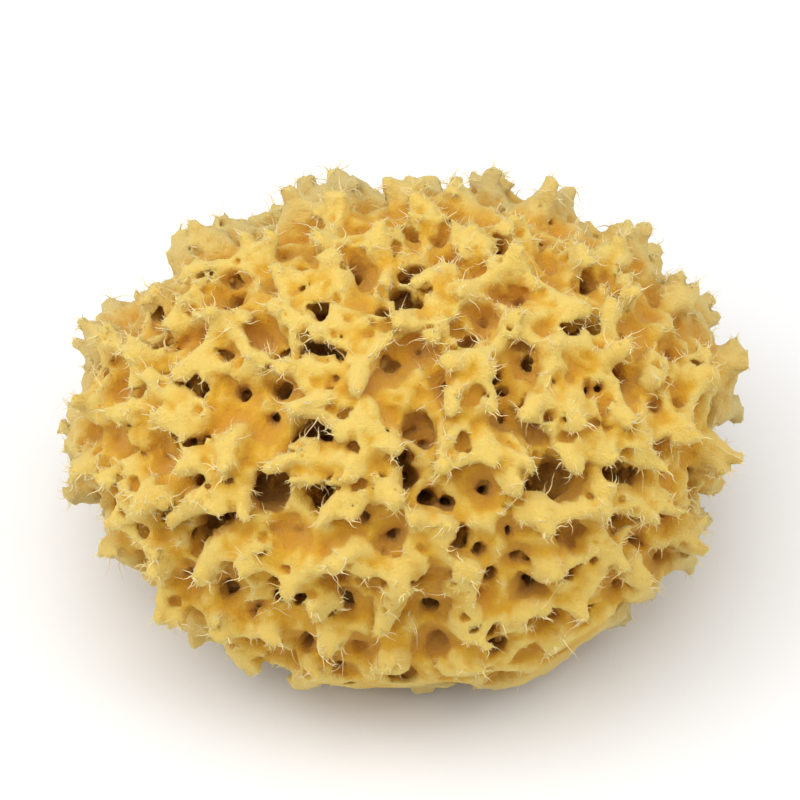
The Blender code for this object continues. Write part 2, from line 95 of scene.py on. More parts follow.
# Canal mouths: across, up, mouth radius, depth
MOUTHS = (
    # Upper middle
    (2.2, 26.2, 3.6, 26), (2.6, 33.6, 3.1, 22), (0.2, 29.8, 2.4, 22),
    (-16.6, 16.6, 3.5, 26), (-16, 24.4, 3.1, 22), (-18.2, 20.6, 2.4, 20),
    (-9.8, 34.2, 1.9, 14), (-4.2, 25.6, 2, 12), (-12.4, 16.2, 1.4, 12),
    (-2.6, 14.8, 1.6, 9), (9.2, 35.8, 2.3, 6), (-23.8, 32.6, 3, 7),
    (-20, 33.8, 2.6, 6), (13.6, 18, 2.8, 12), (16.6, 24.2, 3, 6),
    (-28, 20.2, 3, 6), (-24.2, 38.8, 1.1, 6), (-24.2, 15.8, 2, 10),
    (-24.4, 10, 1.5, 14), (18.2, 12.8, 1.5, 14), (19.8, 9.6, 1.2, 10),
    # Upper left
    (-35, 29.2, 2.5, 14), (-34.8, 32.8, 1.9, 9), (-49.4, 25, 3.4, 7),
    (-48.4, 19, 2.5, 9), (-53.8, 16.6, 1.7, 8), (-45, 30, 1.4, 6),
    (-40.8, 10.6, 2.6, 22), (-44.2, 11, 2.4, 10), (-31.8, 9.4, 1.6, 18),
    (-55.2, 26.8, 1.8, 5),
    # Upper right
    (33, 21.2, 2.5, 22), (37.4, 22, 2.3, 10), (25.2, 15.8, 1.6, 18),
    (35.4, 38.4, 3, 7), (38, 32.6, 2.3, 9), (44.4, 33, 1.6, 8),
    (28, 41.8, 1.4, 6), (19.8, 35.4, 2.1, 14), (19.4, 39.2, 1.7, 9),
    (43, 13.4, 2.1, 15), (39.6, 10, 1.2, 10), (36.6, 10, 1.6, 6),
    (56.2, 18, 1.6, 5),
    # Middle, under the upper lip
    (-17, 1.4, 2.9, 24), (-20, -0.6, 1.7, 18), (2.2, 2.6, 2.4, 9),
    (4, -0.4, 1.8, 9), (-0.6, -4, 2.2, 14), (0.6, -7.8, 2.2, 22),
    (-16.2, -11.2, 2.9, 18), (5.2, -12.6, 1.8, 20), (9, -13.6, 1.5, 18),
    (16.4, -10.4, 1.6, 12), (-26.6, -10.4, 4.7, 16), (30.8, -8.2, 4.4, 14),
    (26.6, -9.8, 2.8, 12), (43.4, -7.2, 2.6, 12), (40, -6.6, 2.1, 11),
    (46.8, -7.8, 2, 10),
    # Left, under the upper lip
    (-45.6, 0, 2.1, 14), (-42, -0.8, 1.3, 10), (-39.2, 0, 1.6, 6),
    (-59.2, -0.4, 1.6, 5), (-49, -3.6, 3.6, 6), (-40, -8.4, 1.9, 9),
    (-39.2, -18, 2.4, 14), (-41.8, -19.8, 1.9, 12), (-36, -15.8, 2.1, 12),
    (-60.2, -11, 1.2, 8), (-60.2, -15.6, 1.7, 9),
    # Lower left
    (-34.4, -25.2, 1.7, 10), (-24.8, -29, 1.7, 18), (-25, -32, 1.5, 16),
    (-36, -31.6, 2.3, 9), (-44, -29.2, 2.6, 7), (-41.6, -23, 1.3, 8),
    (-20.4, -31.6, 2.4, 9), (-19.4, -43.4, 1.8, 9), (-30, -41.2, 2, 6),
    (-41.8, -37.4, 2.6, 5), (-8.6, -43.2, 2.6, 6), (-10.8, -33.6, 1.5, 12),
    (-12.6, -27.8, 1.4, 7),
    # Lower middle
    (-2.2, -19.8, 1.6, 12), (10.8, -20.4, 2.8, 9), (15.4, -22.8, 1.4, 14),
    (17.4, -28.2, 1.8, 16), (15.4, -31.8, 1.2, 8), (3.2, -28, 1.2, 8),
    (5.8, -34.6, 1.7, 14), (17.8, -38, 1.7, 14), (19.6, -42.6, 2.3, 16),
    (0.4, -49.6, 3.4, 11), (7, -42.4, 3.2, 7),
    # Lower right
    (21.8, -18.4, 1.3, 8), (24.4, -24.4, 1.3, 10), (32.8, -26.4, 1.3, 10),
    (26.6, -29.8, 2, 18), (43.4, -16.8, 1.8, 9), (48.2, -22.8, 2, 10),
    (38.4, -34.8, 1.1, 8), (29.6, -36.4, 2.1, 6), (36.4, -36.8, 2.3, 5),
    (54.4, -17, 2.4, 6), (55.2, -25.8, 2.7, 6), (34.2, -21.4, 1.2, 7),
)  # fmt: skip

# Fingers: foot across and up, tip across and up, and how far the tip stands off the skin
FINGERS = (
    # Tongues and tufts between the upper mouths
    (9.2, 32.4, 3, 29.6, 3), (13.6, 29.2, 11, 26.6, 4), (-20.4, 29.2, -24.4, 31.6, 4),
    (-12.4, 30.2, -14, 33.6, 3.5), (-20.4, 22.2, -24.4, 24.2, 4), (-10.6, 22.4, -16.8, 20, 3),
    (1.6, 24, -0.8, 20.8, 4.5), (6.6, 22.6, 5.6, 18, 4), (-18, 14, -22.2, 12.4, 4.5),
    (-7.4, 16.2, -8.8, 9, 4), (13.4, 14.6, 8, 13.6, 4.5), (15.6, 15.4, 16.4, 12, 4),
    (-10.4, 7.2, -20, 5, 4), (-7.4, 5.2, -11.6, 0.6, 4), (-4.8, 1.2, -1.6, -2, 4),
    # Tufts that hang over the groove in the middle
    (-8, -1.8, -10, -6.6, 4), (-18.4, -2.6, -24.2, -6.4, 4), (-16.8, -4, -19.8, -8.8, 3),
    (-10.4, -8.8, -14.8, -15.2, 3.5), (-8.4, -8.8, -9.4, -14.8, 3.5), (-3.4, -7.8, -1.4, -12.4, 3.5),
    (11.6, 10.2, 9.2, 3.8, 4.5), (14.6, 9, 16.8, 5.4, 4), (9.6, -0.8, 7.6, -5.8, 4),
    (15.6, 0.2, 18, -4.6, 4), (4.6, -17.8, 2.4, -14.6, 3), (7.6, -18.4, 7.6, -16, 3.5),
    # Left side
    (-43.4, 5.2, -48.8, 11.4, 3.5), (-38.4, 14.2, -42.4, 12, 3), (-41.4, 4.2, -47.8, 3.4, 3.5),
    (-32.4, 0.2, -33.2, -5.4, 4.5), (-37.4, -3.4, -41.2, -6, 4), (-34.8, -6.8, -44, -15.6, 4),
    (-33.4, -9.8, -36, -13.4, 4), (-31.2, -7.8, -30.6, -15, 3.5), (-36, -22.2, -39.4, -26.6, 3),
    (-52, 6, -56, 4, 3.5), (-54, -7, -58, -8.4, 3.5), (-52, -13, -56, -17, 3),
    # Right side
    (29.6, 26, 34.8, 24, 3), (40.2, 17, 40, 25, 3.5), (39, 15.4, 42.6, 17.2, 3.5),
    (50.6, 13.8, 47.6, 11.4, 3), (33.6, 9.2, 32.6, 2.2, 4.5), (29.6, 8.2, 23.6, 4.6, 4),
    (40.6, 6.2, 43, 3.4, 4), (32.6, 0.2, 32.8, -5.6, 4), (37.6, -0.8, 39, -4.4, 4),
    (41.6, 0.2, 49.6, -5, 4), (47.6, 4.2, 46.6, -1.8, 3.5), (20.6, -1.8, 24.6, -4.8, 4),
    (21.6, -5.6, 22.6, -10, 3.5), (25.6, -13.6, 28, -17, 3.5), (43.6, -12.8, 49.6, -15.4, 3),
    # Lower front
    (-9.6, -22.4, -12.6, -24, 3), (-19.4, -25.8, -22, -28, 3.5), (-15, -33, -16.8, -31, 3.5),
    (12.4, -26.8, 12.6, -24.6, 3), (38.8, -20.6, 41.6, -23.8, 3.5), (45.6, -25.6, 48.6, -28, 3.5),
    (47.6, -29.8, 51.6, -33.6, 3), (23.6, -35.8, 27.4, -33, 3), (12.6, -35.8, 15.6, -38.6, 3),
    (33, -31, 34.8, -33.8, 2.5), (51, -11.8, 54, -13.6, 3), (-28, -22, -30, -25, 3),
    (-2, -33, -4, -37, 3), (-14, -38.6, -15, -41, 3), (-26, -37, -25, -39, 3),
)  # fmt: skip

# Trimming cuts low on the flank, where shears squared the sponge: outward direction, and how
# deep the cut goes under the highest skin in that direction
TRIM_CUTS = (
    ((0.55, -0.75, -0.36), 1.8),
    ((0.02, -0.88, -0.47), 1.2),
)

# Spread of the mouths and tufts that are not placed by hand
SPREAD_SEED = 11
CANDIDATES = 3200
FREE_MOUTH_RADII = (2.5, 4.6)
SEEN_MOUTH_RADII = (1.4, 1.9)
WALL = 3.6
TUFT_SPACING = 10.0
TUFT_CLEARANCE = 1.2
TUFT_WIDTH = 3.0
FINGER_WIDTH = 2.9
BOWL_REACH = 0.60
BOWL_RADII = (1.3, 5.8)
BOWL_CENTRE = 1.9
CANAL_RIM = 0.9
# Radii at the ends of tufts and of their side points. Tufts lower than WORN_HEIGHT over the cut
# are worn short, down to WORN_LEAST of their length
TUFT_END = 1.45
SIDE_END = 1.25
WORN_HEIGHT = 28
WORN_LEAST = 0.35
# Webs: radii of the rods at the feet and halfway up, of the rim's ends and middle, and the
# furthest that two tufts with a web stand apart
WEB_FOOT = 2.0
WEB_HALF = 1.35
WEB_RIM = (0.95, 0.85)
WEB_REACH = 12.5
# Small pits: least radius, spread of the radii, and the heights over the skin they lie between
PIT_LEAST = 0.95
PIT_SPREAD = 1.0
PIT_HEIGHTS = (-0.4, 4.6)
# Crown points: radius at the foot and at the end
POINT_RADII = (0.9, 0.28)
# Small lumps: share and width of each kind
LUMPS = ((0.60, 4.6), (0.50, 2.1), (0.45, 1.2))
# How far the outermost forms and the strands may stand past the solid's box
PAST_BOX = 1.7
STRANDS_PAST_BOX = (2.2, 2.2, 1.9)
# Strands: how deep they are rooted, and how much rarer they are round the outline
ROOT_DEPTH = 0.2
RARER_OUTSIDE = 0.6


def unit(vectors):
    """Each vector divided by its length."""
    return vectors / np.linalg.norm(vectors, axis=-1, keepdims=True)


def seen_axes():
    """Unit directions of across, of up and of towards the viewer."""
    level, rise = math.cos(SEEN_FROM), math.sin(SEEN_FROM)
    return np.array(((1, 0, 0), (0, rise, level), (0, -level, rise)), float)


def skin_radius(directions):
    """Distance of the skin from the middle along unit directions: that of an ellipsoid that is
    a little flatter below than above, times one plus each swelling, a bell over the angle."""
    down = np.where(directions[..., 2] < 0, SKIN_RADIUS_DOWN, SKIN_RADIUS_UP)
    flat = (directions[..., 0] / SKIN_RADII[0]) ** 2 + (directions[..., 1] / SKIN_RADII[1]) ** 2
    radius = 1 / np.sqrt(flat + (directions[..., 2] / down) ** 2)
    right, above, _ = seen_axes()
    rows = list(SWELLINGS)
    for turn, share, width in OUTLINE_SWELLINGS:
        angle = math.radians(turn)
        rows.append((right * math.cos(angle) + above * math.sin(angle), share, width))
    for towards, share, width in rows:
        axis = unit(np.array(towards, float)).astype(directions.dtype)
        radius = radius * (1 + share * np.exp((directions @ axis - 1) / width))
    return radius


def height_over_skin(points):
    """How far points stand outside the skin, along the line from the middle."""
    distance = np.linalg.norm(points, axis=-1)
    return distance - skin_radius(points / distance[..., None])


def skin_normals(points):
    """Outward directions of the skin at points on it, from small differences."""
    shifts = np.eye(3) * 0.5
    slopes = [height_over_skin(points + s) - height_over_skin(points - s) for s in shifts]
    return unit(np.stack(slopes, axis=1))


def on_skin(across, up):
    """Points of the skin behind places of the view, the first that a sight line meets, or the
    nearest to it where the line passes by."""
    right, above, near = seen_axes()
    depths = np.linspace(90, -60, 601)
    base = np.outer(across, right) + np.outer(up, above)
    lines = base[:, None, :] + depths[None, :, None] * near
    height = height_over_skin(lines.reshape(-1, 3)).reshape(lines.shape[:2])
    meets = height < 0
    pick = np.where(meets.any(axis=1), meets.argmax(axis=1), height.argmin(axis=1))
    hit = lines[np.arange(len(pick)), pick]
    distance = np.linalg.norm(hit, axis=1)
    return hit * (skin_radius(hit / distance[:, None]) / distance)[:, None]


def even_directions(count):
    """Unit directions spread evenly over a ball, along a golden-angle spiral."""
    k = np.arange(count) + 0.5
    z = 1 - 2 * k / count
    turn = k * math.pi * (3 - math.sqrt(5))
    level = np.sqrt(1 - z**2)
    return np.column_stack((level * np.cos(turn), level * np.sin(turn), z))


def hand_mouths():
    """Mouth points, inward axes, radii and depths of the listed canals."""
    rows = np.array(MOUTHS)
    points = on_skin(rows[:, 0], rows[:, 1])
    inward = unit(-(0.62 * skin_normals(points) + 0.38 * seen_axes()[2]))
    return points, inward, rows[:, 2], rows[:, 3]


def spread_mouths(points, radii, chance):
    """Mouths on the sides that no listed one covers: candidates are taken in a shuffled
    order, and each is kept where it leaves a wall's width to all the mouths before it."""
    spots = even_directions(CANDIDATES)
    spots = spots * skin_radius(spots)[:, None]
    facing = skin_normals(spots) @ seen_axes()[2]
    order = chance.permutation(CANDIDATES)
    draws = chance.random(CANDIDATES)
    points, radii = list(points), list(radii)
    fresh = []
    for i in order:
        low, high = SEEN_MOUTH_RADII if facing[i] > 0.3 else FREE_MOUTH_RADII
        radius = low + (high - low) * draws[i] ** 1.5
        gaps = np.linalg.norm(np.array(points) - spots[i], axis=1) - np.array(radii) - radius
        if gaps.min() > WALL:
            points.append(spots[i])
            radii.append(radius)
            fresh.append((spots[i], radius))
    return fresh


def all_mouths():
    """Every canal of the sponge: mouth points, inward axes, radii and depths."""
    chance = np.random.default_rng(SPREAD_SEED)
    points, inward, radii, depths = hand_mouths()
    fresh = spread_mouths(points, radii, chance)
    spots = np.array([spot for spot, _ in fresh])
    sizes = np.array([size for _, size in fresh])
    axes = unit(chance.normal(0, 0.22, spots.shape) - skin_normals(spots))
    lengths = sizes * (2.4 + 3.0 * chance.random(len(sizes)))
    return (
        np.vstack((points, spots)),
        np.vstack((inward, axes)),
        np.concatenate((radii, sizes)),
        np.concatenate((depths, lengths)),
    )


def bowl_radii(points, radii):
    """A bowl reaches a share of the way to the second nearest mouth, within limits."""
    gaps = np.sort(np.linalg.norm(points[:, None] - points[None], axis=2), axis=1)
    least, most = BOWL_RADII
    return np.minimum(np.maximum(BOWL_REACH * gaps[:, 2], least * radii), most)


def hand_fingers():
    """Feet and tips of the listed fingers. A foot is a little under the skin."""
    rows = np.array(FINGERS)
    feet = on_skin(rows[:, 0], rows[:, 1])
    tips = on_skin(rows[:, 2], rows[:, 3])
    feet = feet - 1.0 * skin_normals(feet)
    return feet, tips + rows[:, 4:5] * skin_normals(tips)


def spread_tufts(mouth_points, mouth_radii, taken):
    """Feet, tips and side tips of the tufts between the mouths: of evenly spread places, those
    furthest from any mouth's edge come first, and each keeps its distance to those before."""
    chance = np.random.default_rng(SPREAD_SEED + 1)
    spots = even_directions(CANDIDATES)
    spots = spots * skin_radius(spots)[:, None]
    spots = spots[spots[:, 2] > 3 - MIDDLE_HEIGHT]
    gaps = np.linalg.norm(spots[:, None] - mouth_points[None], axis=2) - mouth_radii
    clearance = gaps.min(axis=1)
    tufts = list(taken)
    chosen = []
    for i in np.argsort(-clearance):
        if clearance[i] < TUFT_CLEARANCE:
            break
        if np.linalg.norm(np.array(tufts) - spots[i], axis=1).min() > TUFT_SPACING:
            tufts.append(spots[i])
            chosen.append(spots[i])
    feet = np.array(chosen)
    lean = chance.normal(0, 0.28, feet.shape)
    rise = TUFT_RISE * (0.75 + 0.35 * chance.random(len(feet)))
    outward = skin_normals(feet)
    aside = unit(np.cross(outward, chance.normal(0, 1, feet.shape)))
    tips = feet + rise[:, None] * (outward + lean)
    side_tips = feet + rise[:, None] * (0.62 * outward + 0.80 * aside)
    return feet - 1.0 * outward, tips, side_tips


class Block:
    """A box of even cells that holds how far each cell's corner is outside the sponge."""

    def __init__(self, cell, reach):
        self.cell = cell
        self.low = -np.array(reach, float)
        count = np.ceil(2 * np.array(reach) / cell).astype(int) + 1
        self.ticks = [self.low[a] + cell * np.arange(count[a]) for a in range(3)]
        self.shape = tuple(count)
        self.warp = None
        self.field = None

    def grown_skin(self):
        """Fills the field with the height over the skin, slab by slab."""
        self.field = np.empty(self.shape, np.float32)
        x, y = (t.astype(np.float32) for t in self.ticks[:2])
        for k, z in enumerate(self.ticks[2]):
            points = np.empty((len(x), len(y), 3), np.float32)
            points[..., 0] = x[:, None]
            points[..., 1] = y[None, :]
            points[..., 2] = z + 1e-3
            self.field[:, :, k] = 0.95 * height_over_skin(points)

    def noise(self, wavelength, seed):
        """Smooth noise from -1 to 1: random values on a coarse lattice, joined by smooth steps
        along x, then along y, then along z."""
        chance = np.random.default_rng(seed)
        values = chance.uniform(-1, 1, [int(np.ptp(t) / wavelength) + 3 for t in self.ticks])
        values = values.astype(np.float32)
        for axis in range(3):
            along = (self.ticks[axis] - self.low[axis]) / wavelength
            whole = along.astype(int)
            part = (along - whole).astype(np.float32)
            part = part * part * (3 - 2 * part)
            part = part.reshape([-1 if a == axis else 1 for a in range(3)])
            values = np.take(values, whole, axis) * (1 - part) + np.take(
                values, whole + 1, axis
            ) * part
        return values

    def window(self, low, high):
        """Index slices of the cells between two corners, and the warped places in them."""
        first = np.maximum(np.floor((low - self.low) / self.cell).astype(int), 0)
        last = np.minimum(np.ceil((high - self.low) / self.cell).astype(int) + 1, self.shape)
        if (last <= first).any():
            return None, None
        cells = tuple(slice(a, b) for a, b in zip(first, last, strict=True))
        grid = np.meshgrid(*(t[c] for t, c in zip(self.ticks, cells, strict=True)), indexing="ij")
        places = np.stack([g + w[cells] for g, w in zip(grid, self.warp, strict=True)], axis=-1)
        return cells, places.astype(np.float32)

    def sample(self, values, points):
        """Values at points, by straight blends between the eight corners of a cell."""
        along = (points - self.low) / self.cell
        along = np.clip(along, 0, np.array(self.shape) - 1.001)
        whole = along.astype(int)
        part = along - whole
        total = 0
        for dx in (0, 1):
            for dy in (0, 1):
                for dz in (0, 1):
                    share = np.abs(1 - np.array((dx, dy, dz)) - part).prod(axis=1)
                    total = total + share * values[
                        whole[:, 0] + dx, whole[:, 1] + dy, whole[:, 2] + dz
                    ]
        return total

    def soften(self, values, radius):
        """A blur: two running means along each axis, a tent."""
        width = max(1, int(round(radius / self.cell)))
        for axis in range(3):
            for _ in range(2):
                values = running_mean(values, width, axis)
        return values


def running_mean(values, width, axis):
    """The mean of each value and of width neighbours on both sides, from a running sum."""
    pad = [(width + 1, width) if a == axis else (0, 0) for a in range(3)]
    total = np.cumsum(np.pad(values, pad, mode="edge"), axis=axis, dtype=np.float32)
    count = values.shape[axis]
    late = np.take(total, range(2 * width + 1, 2 * width + 1 + count), axis)
    early = np.take(total, range(0, count), axis)
    return (late - early) / (2 * width + 1)


def melt(a, b, softness):
    """The nearer of two shapes, with a fillet where they meet: the smaller distance less a
    quarter of the squared overlap."""
    overlap = np.maximum(softness - np.abs(a - b), 0)
    return np.minimum(a, b) - overlap * overlap / (4 * softness)


def carve(a, b, softness):
    """Shape a without shape b, with a rounded rim."""
    return -melt(-a, b, softness)


def horn_distance(places, foot, tip, wide, narrow):
    """How far places are from a tapered rod with round ends."""
    axis = tip - foot
    share = np.clip(((places - foot) @ axis) / (axis @ axis), 0, 1)
    nearest = foot + share[..., None] * axis
    gap = places - nearest
    return np.sqrt((gap * gap).sum(axis=-1)) - (wide + share * (narrow - wide))


def egg_distance(places, start, inward, length, radius):
    """About how far places are from an egg with its blunt end at start: its width at a share of
    its length is that of a ball, scaled from 1.3 down to 0.7 of the radius."""
    gap = places - start
    down = gap @ inward
    across = np.sqrt(np.maximum((gap * gap).sum(axis=-1) - down * down, 0))
    share = np.clip(down / length, 0, 1)
    width = radius * (1.32 - 0.62 * share)
    scaled = np.sqrt((across / width) ** 2 + (2 * down / length - 1) ** 2)
    return (scaled - 1) * width * 0.9


def joined(block, ends, reach, distance, join, softness):
    """Joins a shape to the field, in the cells within reach of its two ends."""
    reach = reach + softness + 1.5
    cells, places = block.window(np.minimum(*ends) - reach, np.maximum(*ends) + reach)
    if cells is not None:
        shape = distance(places).astype(np.float32)
        block.field[cells] = join(block.field[cells], shape, softness)


def add_horn(block, foot, tip, wide, narrow, softness):
    """Melts a tapered rod into the field."""
    joined(block, (foot, tip), max(wide, narrow),
           lambda places: horn_distance(places, foot, tip, wide, narrow), melt, softness)


def cut_egg(block, mouth, inward, radius, depth, softness):
    """Carves a canal that starts above its mouth, over the tufts."""
    above = 0.55 * radius + TUFT_RISE
    start, length = mouth - inward * above, depth + 0.55 * radius + TUFT_RISE
    joined(block, (start, start + inward * length), 1.4 * radius,
           lambda places: egg_distance(places, start, inward, length, radius), carve, softness)


def cut_ball(block, centre, radius, softness):
    """Carves a ball."""
    joined(block, (centre, centre), radius,
           lambda places: np.linalg.norm(places - centre, axis=-1) - radius, carve, softness)


def skeleton_field(block, look):
    """The sponge in the block: skin, less the bowls, with tufts and webs, less the canals and
    their side canals, with fingers, less the small pits, with small points and lumps, less the
    cuts."""
    chance = np.random.default_rng(SPREAD_SEED + 2)
    bend = look.bend
    block.warp = [
        bend * block.noise(9.0, 20 + a) + 0.45 * bend * block.noise(3.6, 30 + a) for a in range(3)
    ]
    block.grown_skin()
    points, inward, radii, depths = all_mouths()
    feet, tips = hand_fingers()
    tuft_feet, tuft_tips, side_tips = spread_tufts(points, radii, (feet + tips) / 2)

    worn = np.clip((tuft_feet[:, 2:] + MIDDLE_HEIGHT) / WORN_HEIGHT, WORN_LEAST, 1)
    tuft_tips = tuft_feet + worn * (tuft_tips - tuft_feet)
    side_tips = tuft_feet + worn * (side_tips - tuft_feet)

    for point, axis, radius in zip(points, inward, bowl_radii(points, radii), strict=True):
        cut_ball(block, point - BOWL_CENTRE * axis, radius, look.web)
    for foot, tip, side in zip(tuft_feet, tuft_tips, side_tips, strict=True):
        add_horn(block, foot, tip, 1.2 * TUFT_WIDTH, TUFT_END, look.web)
        add_horn(block, foot, side, 1.1 * TUFT_WIDTH, SIDE_END, look.web)
    all_feet = np.vstack((tuft_feet, feet))
    rises = np.vstack((tuft_tips, tips)) - all_feet
    for i, j in ridge_pairs(all_feet):
        add_web(block, all_feet[[i, j]], rises[[i, j]], look, chance)
    for point, axis, radius, depth in zip(points, inward, radii, depths, strict=True):
        cut_egg(block, point, axis, radius, depth, CANAL_RIM)
        side_canals(block, point, axis, radius, depth, chance)
    for foot, tip in zip(feet, tips, strict=True):
        add_horn(block, foot, tip, FINGER_WIDTH, SIDE_END, 1.8)
    small_pits(block, look, chance)
    small_points(block, np.vstack((feet, tuft_feet, tuft_feet)),
                 np.vstack((tips, tuft_tips, side_tips)), look, chance)
    block.field += look.lumps * sum(
        share * block.noise(width, 41 + row) for row, (share, width) in enumerate(LUMPS)
    )
    for outward, depth in TRIM_CUTS:
        cut_flat(block, unit(np.array(outward)), skin_reach(outward) - depth)
    floor = -MIDDLE_HEIGHT - block.ticks[2].astype(np.float32)
    block.field = np.maximum(block.field, floor[None, None, :])


def small_pits(block, look, chance):
    """Small pits and holes all over the webs and tufts, that leave their edges ragged."""
    spots = even_directions(look.pits)
    spots = unit(spots + chance.normal(0, 0.03, spots.shape))
    heights = chance.uniform(*PIT_HEIGHTS, len(spots))
    radii = PIT_LEAST + PIT_SPREAD * chance.random(len(spots)) ** 2
    for centre, radius in zip(spots * (skin_radius(spots) + heights)[:, None], radii, strict=True):
        cut_ball(block, centre, radius, 0.6)


def add_web(block, feet, rises, look, chance):
    """A thin curtain between two tufts: rods at their feet and halfway up, and a rim that sags
    between them."""
    add_horn(block, feet[0], feet[1], WEB_FOOT, WEB_FOOT, look.web)
    half = feet + 0.40 * rises
    add_horn(block, half[0], half[1], WEB_HALF, WEB_HALF, look.web)
    high = feet + (0.66 + 0.2 * chance.random((2, 1))) * rises
    sag = feet.mean(axis=0) + (0.42 + 0.2 * chance.random()) * rises.mean(axis=0)
    for end in high:
        add_horn(block, end, sag, *WEB_RIM, 1.3)


def ridge_pairs(feet):
    """Neighbouring tufts that a web joins: each tuft and its three nearest."""
    gaps = np.linalg.norm(feet[:, None] - feet[None], axis=2)
    nearest = np.argsort(gaps, axis=1)[:, 1:4]
    pairs = {tuple(sorted((i, int(j)))) for i, row in enumerate(nearest) for j in row}
    return [(i, j) for i, j in sorted(pairs) if gaps[i, j] < WEB_REACH]


def side_canals(block, mouth, inward, radius, depth, chance):
    """Smaller canals that leave a deep one sideways, so that its walls show further holes."""
    for _ in range(2):
        draw = chance.normal(0, 1, 3)
        share, size = chance.random(2)
        if depth < 9:
            continue
        aside = unit(np.cross(inward, draw))
        start = mouth + inward * depth * (0.25 + 0.4 * share)
        heading = unit(aside + 0.5 * inward)
        thin = radius * (0.45 + 0.25 * size)
        cut_egg(block, start + heading * TUFT_RISE, heading, thin, 2.6 * radius, 0.8)


def small_points(block, feet, tips, look, chance):
    """A ragged crown of small points round the end of every tuft, that lean outwards."""
    for foot, tip in zip(feet, tips, strict=True):
        axis = tip - foot
        length = np.linalg.norm(axis)
        for _ in range(look.points):
            share = 0.50 + 0.5 * chance.random() ** 0.7
            lean = unit(np.cross(axis, chance.normal(0, 1, 3)))
            start = foot + axis * share + (1.35 - share) * lean
            reach = 0.8 + 1.5 * chance.random()
            end = start + unit(axis / length + (0.35 + 0.9 * chance.random()) * lean) * reach
            add_horn(block, start, end, POINT_RADII[0] - 0.2 * share, POINT_RADII[1], 0.7)


def skin_reach(outward):
    """How far the skin reaches from the middle in a direction."""
    spots = even_directions(CANDIDATES)
    spots = spots * skin_radius(spots)[:, None]
    return (spots @ unit(np.array(outward, float))).max()


def cut_flat(block, outward, distance):
    """Takes off what lies beyond a flat cut."""
    x, y, z = (t.astype(np.float32) for t in block.ticks)
    beyond = (
        outward[0] * x[:, None, None] + outward[1] * y[None, :, None] + outward[2] * z
    ) - distance
    block.field = carve(block.field, -beyond.astype(np.float32), 0.8)


def net_of_cells(block):
    """The skin of the field as a net: one vertex in each cell that the skin crosses, at the mean
    of its crossings of the cell's edges, and one square for each crossed edge of the lattice."""
    field = block.field
    inside = field < 0
    count = np.zeros([n - 1 for n in field.shape], np.uint8)
    corners = [(dx, dy, dz) for dx in (0, 1) for dy in (0, 1) for dz in (0, 1)]
    nx, ny, nz = count.shape
    for dx, dy, dz in corners:
        count += inside[dx : dx + nx, dy : dy + ny, dz : dz + nz]
    crossed = (count > 0) & (count < 8)
    i, j, k = np.nonzero(crossed)
    number = np.full(count.shape, -1, np.int32)
    number[i, j, k] = np.arange(len(i))
    values = {c: field[i + c[0], j + c[1], k + c[2]] for c in corners}
    total = np.zeros((len(i), 3))
    hits = np.zeros(len(i))
    for a in corners:
        for axis in range(3):
            if a[axis]:
                continue
            b = tuple(1 if n == axis else a[n] for n in range(3))
            cross = (values[a] < 0) != (values[b] < 0)
            gap = np.where(cross, values[a] - values[b], 1)
            share = np.where(cross, values[a] / gap, 0)
            place = np.array(a, float)[None] + share[:, None] * (np.arange(3) == axis)
            total += place * cross[:, None]
            hits += cross
    vertices = (np.column_stack((i, j, k)) + total / hits[:, None]) * block.cell + block.low
    faces = []
    for axis in range(3):
        step = tuple(int(n == axis) for n in range(3))
        low = tuple(slice(0 if n == axis else 1, -1) for n in range(3))
        high = tuple(slice(1, None) if n == axis else slice(1, -1) for n in range(3))
        change = inside[low].astype(np.int8) - inside[high]
        p = np.array(np.nonzero(change))
        sign = change[tuple(p)]
        p = p + 1 - np.array(step)[:, None]
        u, v = (axis + 1) % 3, (axis + 2) % 3
        ring = []
        for du, dv in ((1, 1), (0, 1), (0, 0), (1, 0)):
            q = p.copy()
            q[u] -= du
            q[v] -= dv
            ring.append(number[q[0], q[1], q[2]])
        quad = np.column_stack(ring)
        quad[sign < 0] = quad[sign < 0][:, ::-1]
        faces.append(quad)
    return vertices, np.vstack(faces)


def largest_piece(vertices, faces):
    """The largest connected piece of a mesh. Each vertex takes the smallest number among its
    neighbours and theirs, again and again, until nothing changes."""
    label = np.arange(len(vertices))
    edges = np.vstack([faces[:, [a, (a + 1) % 4]] for a in range(4)])
    while True:
        low = np.minimum(label[edges[:, 0]], label[edges[:, 1]])
        before = label.copy()
        np.minimum.at(label, label[edges[:, 0]], low)
        np.minimum.at(label, label[edges[:, 1]], low)
        label = label[label]
        label = label[label]
        if (label == before).all():
            break
    keep = label == np.bincount(label).argmax()
    renumber = np.cumsum(keep) - 1
    return vertices[keep], renumber[faces[keep[faces[:, 0]]]]


def new_piece(name, vertices, faces, material):
    """Puts a mesh in the scene, in metres."""
    places = (vertices + (0, 0, MIDDLE_HEIGHT)) * MM
    mesh = bpy.data.meshes.new(name)
    mesh.vertices.add(len(places))
    mesh.vertices.foreach_set("co", places.astype(np.float32).ravel())
    sides = faces.shape[1]
    mesh.loops.add(faces.size)
    mesh.loops.foreach_set("vertex_index", faces.astype(np.int32).ravel())
    mesh.polygons.add(len(faces))
    mesh.polygons.foreach_set("loop_start", np.arange(0, faces.size, sides, dtype=np.int32))
    mesh.update(calc_edges=True)
    mesh.validate()
    piece = bpy.data.objects.new(name, mesh)
    bpy.context.scene.collection.objects.link(piece)
    mesh.materials.append(material)
    return piece


